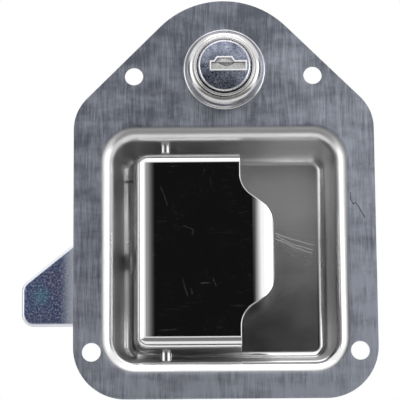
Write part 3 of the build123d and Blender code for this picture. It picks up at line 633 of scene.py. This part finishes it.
# Return spring of the bolt: close coils between two open loops, from the arm to the bracket
boltSpringSet = {
    "armEye": (0.0107, 0.02675, 0.0694),
    "anchorEye": (0.026, 0.02825, 0.0428),
    "wire": 0.0005,      # radius
    "loop": 0.0025,      # mean radius
    "coils": 12,
    "sides": 10,
    "stepsPerTurn": 24,
    "loopTurn": 285,
    "loopSteps": 24,
}
armEye = Vector(boltSpringSet["armEye"])
anchorEye = Vector(boltSpringSet["anchorEye"])
springLine = (anchorEye - armEye).normalized()
springNormal = springLine.cross(Vector((0, 1, 0))).normalized()
springSide = springNormal.cross(springLine)
loop = boltSpringSet["loop"]
coilStart = armEye + springLine * 2 * loop
coilEnd = anchorEye - springLine * 2 * loop
springShape = bmesh.new()
ring = wireRing(springShape, coilStart + springSide * loop, springNormal, boltSpringSet)
coilSteps = boltSpringSet["coils"] * boltSpringSet["stepsPerTurn"]
bmesh.ops.spin(
    springShape, geom=ring, cent=coilStart, axis=springLine, dvec=(coilEnd - coilStart) / coilSteps,
    angle=fullTurn * boltSpringSet["coils"], steps=coilSteps, use_merge=False,
)
closeWire(springShape)
for eyeMiddle, away in ((armEye + springLine * loop, 1), (anchorEye - springLine * loop, -1)):
    loopShape = bmesh.new()
    start = eyeMiddle + springSide * loop
    ring = wireRing(loopShape, start, springLine * -away, boltSpringSet)
    bmesh.ops.spin(
        loopShape, geom=ring, cent=eyeMiddle, axis=springNormal * away, dvec=(0, 0, 0),
        angle=math.radians(boltSpringSet["loopTurn"]), steps=boltSpringSet["loopSteps"], use_merge=False,
    )
    closeWire(loopShape)
    joinShape(springShape, loopShape)
    joinShape(springShape, straightWire(start, start + springLine * away * loop, boltSpringSet))
boltSpring = addPiece("bolt_spring_coils", springShape, None, "spring_steel")
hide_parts("bolt_spring")
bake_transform(boltSpring)

# Torsion spring round the hinge pin: one leg on the dish floor, one under the paddle
paddleSpringSet = {
    "pin": (-0.0212, 0.0075),
    "bottom": 0.05954,
    "top": 0.0657,
    "mean": 0.0029,
    "wire": 0.0005,
    "turns": 5.5,
    "sides": 10,
    "stepsPerTurn": 32,
    "faceRest": (-0.0290, 0.0033),
    "floorRest": (-0.03456, 0.0214),
    "held": 0.0006,   # length of coil at each end next to its leg
}
pin = paddleSpringSet["pin"]
coilBase = Vector((*pin, paddleSpringSet["bottom"]))
coilTop = Vector((*pin, paddleSpringSet["top"]))
mean = Vector((0, paddleSpringSet["mean"], 0))
torsionShape = bmesh.new()
ring = wireRing(torsionShape, coilBase - mean, (1, 0, 0), paddleSpringSet)
torsionSteps = int(paddleSpringSet["turns"] * paddleSpringSet["stepsPerTurn"])
bmesh.ops.spin(
    torsionShape, geom=ring, cent=coilBase, axis=(0, 0, 1), dvec=(coilTop - coilBase) / torsionSteps,
    angle=fullTurn * paddleSpringSet["turns"], steps=torsionSteps, use_merge=False,
)
closeWire(torsionShape)
faceEnd = Vector((*paddleSpringSet["faceRest"], paddleSpringSet["bottom"]))
floorEnd = Vector((*paddleSpringSet["floorRest"], paddleSpringSet["top"]))
for legStart, legEnd in ((coilBase - mean, faceEnd), (coilTop + mean, floorEnd)):
    joinShape(torsionShape, straightWire(legStart, legEnd, paddleSpringSet))
paddleSpring = addPiece("paddle_spring_coils", torsionShape, None, "spring_steel")
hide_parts("paddle_spring")
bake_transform(paddleSpring)
print("springs done")

# Bezel: the outer skin of the lock's head, with its rolled lip and the step at its foot
bezelSet = {
    "profile": [   # radius and distance in front of the flange's front face, mm
        (14.86, 0.0), (14.98, 0.26), (14.95, 0.56), (14.80, 0.82), (14.50, 1.03), (14.20, 1.20),
        (14.02, 1.32), (13.99, 1.70), (13.97, 2.35), (13.78, 3.15), (13.32, 4.05), (12.70, 4.78),
        (12.00, 5.28), (11.45, 5.50), (11.10, 5.50), (10.92, 5.56), (10.76, 5.78), (10.50, 5.92),
        (10.20, 5.86), (10.02, 5.62), (9.95, 5.2), (9.94, 4.2),
    ],
    "steps": 96,
}
lockX, lockZ = lockMiddle
bezelShape = bmesh.new()
profile = [
    bezelShape.verts.new((lockX + radius / perMetre, frontFace - rise / perMetre, lockZ))
    for radius, rise in bezelSet["profile"]
]
profileEdges = [bezelShape.edges.new(pair) for pair in zip(profile, profile[1:])]
bmesh.ops.spin(
    bezelShape, geom=profile + profileEdges, cent=(lockX, 0, lockZ), axis=(0, 1, 0), dvec=(0, 0, 0),
    angle=fullTurn, steps=bezelSet["steps"], use_merge=True,
)
bmesh.ops.recalc_face_normals(bezelShape, faces=bezelShape.faces)
if sum(face.normal.y * face.calc_area() for face in bezelShape.faces) > 0:   # the skin faces the front
    bmesh.ops.reverse_faces(bezelShape, faces=bezelShape.faces)
bezel = addPiece("lock_bezel_skin", bezelShape, "plate", "bezel_nickel")
rounding = bezel.modifiers.new("rounding", "SUBSURF")
rounding.levels = 1
rounding.render_levels = 1

# Keyhole's raised edge: a bead round the slot and its notch, finished in pure white as a painted highlight
keyholeSet = {
    "face": -0.0083,   # depth of the cap's face
    "sunk": 0.0001,
    "outline": [   # mm from the lock's middle
        (-5.30, -2.00), (8.10, -2.00), (8.10, 1.72), (3.85, 1.72), (2.75, 3.30), (-2.75, 3.30),
        (-3.85, 1.72), (-5.30, 1.72),
    ],
    "width": 0.0006,
    "proud": 0.0007,
    "bevel": 0.00028,
}
beadShape = bmesh.new()
outline = [
    beadShape.verts.new((lockX + x / perMetre, keyholeSet["face"] + keyholeSet["sunk"], lockZ + z / perMetre))
    for x, z in keyholeSet["outline"]
]
hole = beadShape.faces.new(outline)
beadShape.normal_update()
bmesh.ops.inset_region(
    beadShape, faces=[hole], thickness=keyholeSet["width"], use_boundary=True, use_even_offset=True
)
bmesh.ops.delete(beadShape, geom=[hole], context="FACES")
raised = bmesh.ops.extrude_face_region(beadShape, geom=beadShape.faces[:])
raisedVerts = vertsOf(raised["geom"])
bmesh.ops.translate(beadShape, vec=(0, -keyholeSet["proud"], 0), verts=raisedVerts)
topEdges = [
    edge for edge in beadShape.edges
    if all(vert in raisedVerts for vert in edge.verts)
    and any(abs(face.normal.y) < 0.5 for face in edge.link_faces)   # it borders an upright side
]
bmesh.ops.bevel(
    beadShape, geom=topEdges, offset=keyholeSet["bevel"], segments=3, profile=0.5, affect="EDGES",
    material=-1,
)
bmesh.ops.recalc_face_normals(beadShape, faces=beadShape.faces)
bead = addPiece("keyhole_bead", beadShape, "plug_body", "bezel_nickel")
bead.data.materials[0] = beadHighlightFinish
print("lock trim done")

# Threads: a low ridge wound round the lock's barrel and round the end of the cam stud
threadSets = {
    "barrel_thread": {
        "body": "plate", "slot": "bezel_nickel", "radius": 0.011, "crest": 0.00022, "pitch": 0.001,
        "from": 0.0064, "to": 0.0244, "flats": 0.0097,
    },
    "stud_thread": {
        "body": "plug_body", "slot": "plug_zinc", "radius": 0.003, "crest": 0.00012, "pitch": 0.0004,
        "from": 0.03352, "to": 0.0339, "flats": None,
    },
}
threadRoot = 0.0003     # how far the ridge reaches into its cylinder
threadStepsPerTurn = 48
for threadName, threadSet in threadSets.items():
    pitch = threadSet["pitch"]
    turns = round((threadSet["to"] - threadSet["from"]) / pitch)
    threadShape = bmesh.new()
    inner = threadSet["radius"] - threadRoot
    outer = threadSet["radius"] + threadSet["crest"]
    corners = [
        threadShape.verts.new((lockX + inner, threadSet["from"] - pitch / 2, lockZ)),
        threadShape.verts.new((lockX + outer, threadSet["from"], lockZ)),
        threadShape.verts.new((lockX + inner, threadSet["from"] + pitch / 2, lockZ)),
    ]
    sides = [threadShape.edges.new((corners[i], corners[(i + 1) % 3])) for i in range(3)]
    steps = turns * threadStepsPerTurn
    bmesh.ops.spin(
        threadShape, geom=corners + sides, cent=(lockX, threadSet["from"], lockZ), axis=(0, 1, 0),
        dvec=(0, pitch * turns / steps, 0), angle=fullTurn * turns, steps=steps, use_merge=False,
    )
    if threadSet["flats"]:
        for side in (1, -1):
            bmesh.ops.bisect_plane(
                threadShape, geom=threadShape.verts[:] + threadShape.edges[:] + threadShape.faces[:],
                plane_co=(lockX, 0, lockZ + side * threadSet["flats"]), plane_no=(0, 0, side),
                clear_outer=True,
            )
    closeWire(threadShape)
    addPiece(threadName, threadShape, threadSet["body"], threadSet["slot"], smooth=False)
print("threads done")

# Stage: pale floor under the latch, dark cards that only reflections see, soft lamps all round
floorSet = {
    "color": (0.8, 0.8, 0.8, 1),
    "rough": 0.9,
    "drop": 0.14,   # below the latch
    "half": 3.0,
}
floorShape = bmesh.new()
bmesh.ops.create_grid(floorShape, x_segments=1, y_segments=1, size=floorSet["half"])
floor = addObject("floor", floorShape)
floor.location = (0, 0, cadBox[0].z - floorSet["drop"])
floorMaterial = startMaterial("pale floor", Base_Color=floorSet["color"], Roughness=floorSet["rough"])[0]
floor.data.materials.append(floorMaterial)

cardSets = {   # dark in the core (left, right, low, high) and fading to the room's white at the edges
    "dark_card": {
        "place": (-0.10, -0.80, -0.04), "turn": (90, 0, 0), "size": (1.30, 1.32), "tone": 0.006,
        "core": (-0.04, 0.13, -0.26, 0.31),
    },
    "back_card": {
        "place": (0.0, 0.90, 0.15), "turn": (90, 0, 0), "size": (3.00, 1.50), "tone": 0.10,
        "core": (-0.60, 0.60, -0.20, 0.20),
    },
    "left_card": {
        "place": (-0.95, 0.0, 0.20), "turn": (90, 0, 90), "size": (0.60, 1.00), "tone": 0.10,
        "core": (-0.12, 0.12, -0.20, 0.20),
    },
    "right_card": {
        "place": (0.95, 0.0, 0.20), "turn": (90, 0, 90), "size": (0.60, 1.00), "tone": 0.10,
        "core": (-0.12, 0.12, -0.20, 0.20),
    },
    "low_card": {
        "place": (0.0, -0.38, -0.155), "turn": (0, 0, 0), "size": (1.20, 0.56), "tone": 0.20,
        "core": (-0.40, 0.40, -0.22, 0.22),
    },
    "top_card": {
        "place": (0.0, 0.15, 1.00), "turn": (0, 0, 0), "size": (0.90, 0.45), "tone": 0.25,
        "core": (-0.10, 0.10, -0.05, 0.05),
    },
}


def makeCardMaterial(name, cardSet):
    material, tree, shader = startMaterial(name)
    place = placeAxes(tree)
    left, right, low, high = cardSet["core"]
    wide, tall = cardSet["size"]
    dark = 1.0
    for axis, core, rim in (
        ("X", left, -wide / 2), ("X", right, wide / 2), ("Y", low, -tall / 2), ("Y", high, tall / 2),
    ):
        dark = times(tree, dark, remap(tree, place[axis], core, rim, 1, 0, True))
    glow = addNode(tree, "ShaderNodeEmission", Strength=mixValue(tree, dark, 1.0, cardSet["tone"]))
    tree.links.new(glow.outputs[0], tree.nodes["Material Output"].inputs["Surface"])
    return material


for cardName, cardSet in cardSets.items():
    cardShape = bmesh.new()
    bmesh.ops.create_grid(cardShape, x_segments=1, y_segments=1, size=0.5)
    bmesh.ops.scale(cardShape, vec=(*cardSet["size"], 1), verts=cardShape.verts)
    card = addObject(cardName, cardShape)
    card.location = cardSet["place"]
    card.rotation_euler = [math.radians(angle) for angle in cardSet["turn"]]
    card.data.materials.append(makeCardMaterial(cardName, cardSet))
    card.visible_camera = False
    card.visible_shadow = False
    card.visible_diffuse = False

lampAim = Vector((0, 0, 0.05))
lampSets = {
    "left": {"place": (-1.0, -0.45, 0.1), "size": 0.8, "power": 2.0},
    "right": {"place": (0.95, -0.45, 0.1), "size": 0.8, "power": 2.4},
    "top": {"place": (0.0, -0.45, 1.0), "size": 0.8, "power": 2.2},
    "back": {"place": (0.5, 0.9, 0.6), "size": 0.6, "power": 3.0},
}
for lampName, lampSet in lampSets.items():
    lampData = bpy.data.lights.new(lampName, "AREA")
    lampData.size = lampSet["size"]
    lampData.energy = lampSet["power"]
    lamp = bpy.data.objects.new(lampName, lampData)
    lamp.location = lampSet["place"]
    lamp.rotation_euler = (lampAim - lamp.location).to_track_quat("-Z", "Y").to_euler()
    bpy.context.scene.collection.objects.link(lamp)

roomSet = {"seen": 1.0, "diffuse": 0.8}   # the white room, as seen or reflected, and as it lights
world = bpy.data.worlds.new("studio")
bpy.context.scene.world = world
world.use_nodes = True
worldTree = world.node_tree
background = worldTree.nodes["Background"]
background.inputs["Color"].default_value = (1, 1, 1, 1)
rays = addNode(worldTree, "ShaderNodeLightPath").outputs
seen = math2(worldTree, "MAXIMUM", rays["Is Camera Ray"], rays["Is Glossy Ray"])
seen = math2(worldTree, "MAXIMUM", seen, rays["Is Transmission Ray"])
roomLight = mixValue(worldTree, seen, roomSet["diffuse"], roomSet["seen"])
worldTree.links.new(roomLight, background.inputs["Strength"])
print("stage done")
